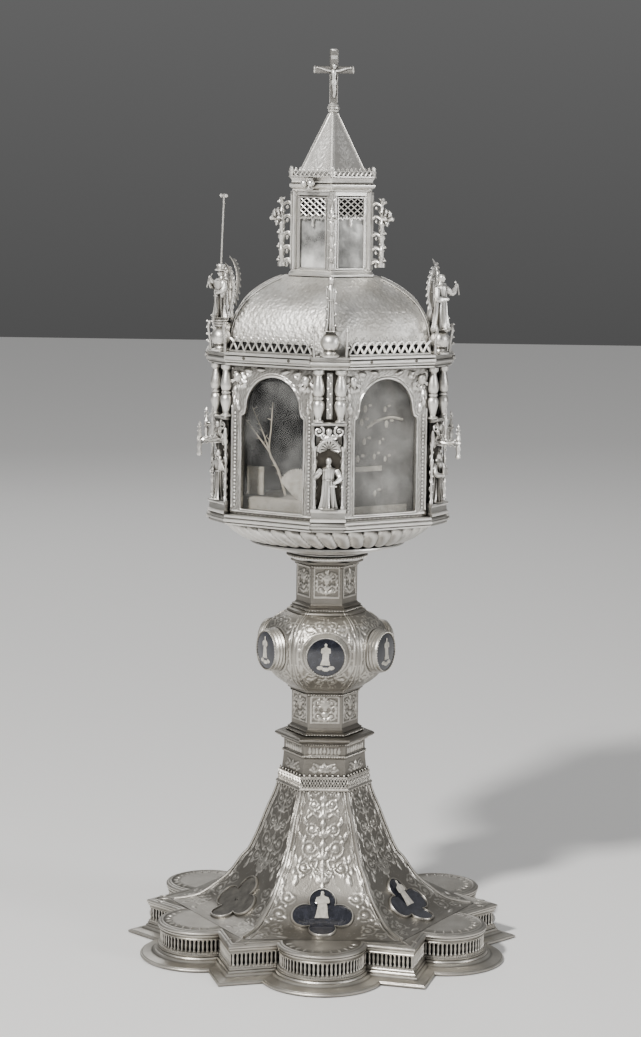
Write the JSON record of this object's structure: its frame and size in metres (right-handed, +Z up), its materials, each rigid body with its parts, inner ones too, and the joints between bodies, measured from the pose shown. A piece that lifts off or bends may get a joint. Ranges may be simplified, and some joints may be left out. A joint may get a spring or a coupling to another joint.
{
  "type": "tower ciborium",
  "caption": "Hexagonal silver-gilt tower vessel with lobed foot, enamelled knop, glazed shrine with a door, domed roof and glazed lantern under a hinged spire",
  "frame": {"origin": "on the vertical axis, at the underside of the foot", "axes": "+Z up along the axis; front (the side seen in the picture) is -Y; +X to the right seen from the front"},
  "size_m": [0.312, 0.314, 0.71],
  "materials": {
    "foot_silver_gilt": "worn gilt silver, engraved",
    "shrine_silver": "satin silver with traces of gilding",
    "enamel": "dark gloss enamel",
    "window_glass": "old clear glass, slightly cloudy",
    "iron": "forged, dark",
    "plinth": "matt, pale gesso on wood"
  },
  "bodies": {
    "vessel": {"base_plate": "foot_silver_gilt", "gallery_wall": "foot_silver_gilt", "foot_shell": "foot_silver_gilt", "foot_crest_band": "foot_silver_gilt", "foot_neck": "foot_silver_gilt", "lower_stem": "foot_silver_gilt", "knop": "foot_silver_gilt", "upper_stem": "foot_silver_gilt", "bowl_collar": "shrine_silver", "gadrooned_bowl": "shrine_silver", "shrine_floor": "shrine_silver", "cornice": "shrine_silver", "dome": "shrine_silver", "lantern_frame": "shrine_silver", "corner_pier_1": "shrine_silver", "corner_pier_2": "shrine_silver", "corner_pier_3": "shrine_silver", "corner_pier_4": "shrine_silver", "corner_pier_5": "shrine_silver", "corner_pier_6": "shrine_silver", "window_frame_1": "shrine_silver", "window_frame_2": "shrine_silver", "window_frame_3": "shrine_silver", "window_frame_4": "shrine_silver", "window_frame_5": "shrine_silver", "roof_figure_1": "shrine_silver", "roof_figure_2": "shrine_silver", "roof_figure_3": "shrine_silver", "roof_figure_4": "shrine_silver", "roof_figure_5": "shrine_silver", "roof_figure_6": "shrine_silver", "foot_enamel_1": "enamel", "foot_enamel_2": "enamel", "foot_enamel_3": "enamel", "foot_enamel_4": "enamel", "foot_enamel_5": "enamel", "foot_enamel_6": "enamel", "knop_enamel_1": "enamel", "knop_enamel_2": "enamel", "knop_enamel_3": "enamel", "knop_enamel_4": "enamel", "knop_enamel_5": "enamel", "knop_enamel_6": "enamel", "lantern_glass": "window_glass", "window_glass_1": "window_glass", "window_glass_2": "window_glass", "window_glass_3": "window_glass", "window_glass_4": "window_glass", "window_glass_5": "window_glass", "stem_tie_rod": "iron", "tie_rod_nut": "iron", "door_hinge_pin": "iron", "lid_hinge_pin": "iron", "relic_plinth": "plinth"},
    "spire_lid": {"lantern_lid": "shrine_silver", "cross": "shrine_silver"},
    "clasp": {"lid_clasp": "shrine_silver"},
    "door": {"door_frame": "shrine_silver", "door_glass": "window_glass"}
  },
  "joints": [
    {"name": "lid_hinge", "type": "hinge", "parent": "vessel", "child": "spire_lid", "pos_m": [0.0183, 0.0317, 0.604], "axis": [-0.866, 0.5, 0], "range_deg": [0, 100]},
    {"name": "clasp_turn", "type": "hinge", "parent": "vessel", "child": "clasp", "pos_m": [-0.018, -0.03118, 0.601], "axis": [-0.5, -0.866, 0], "range_deg": [0, 90]},
    {"name": "door_hinge", "type": "hinge", "parent": "vessel", "child": "door", "pos_m": [-0.01371, 0.09474, 0.406], "axis": [0, 0, -1], "range_deg": [0, 95]}
  ]
}
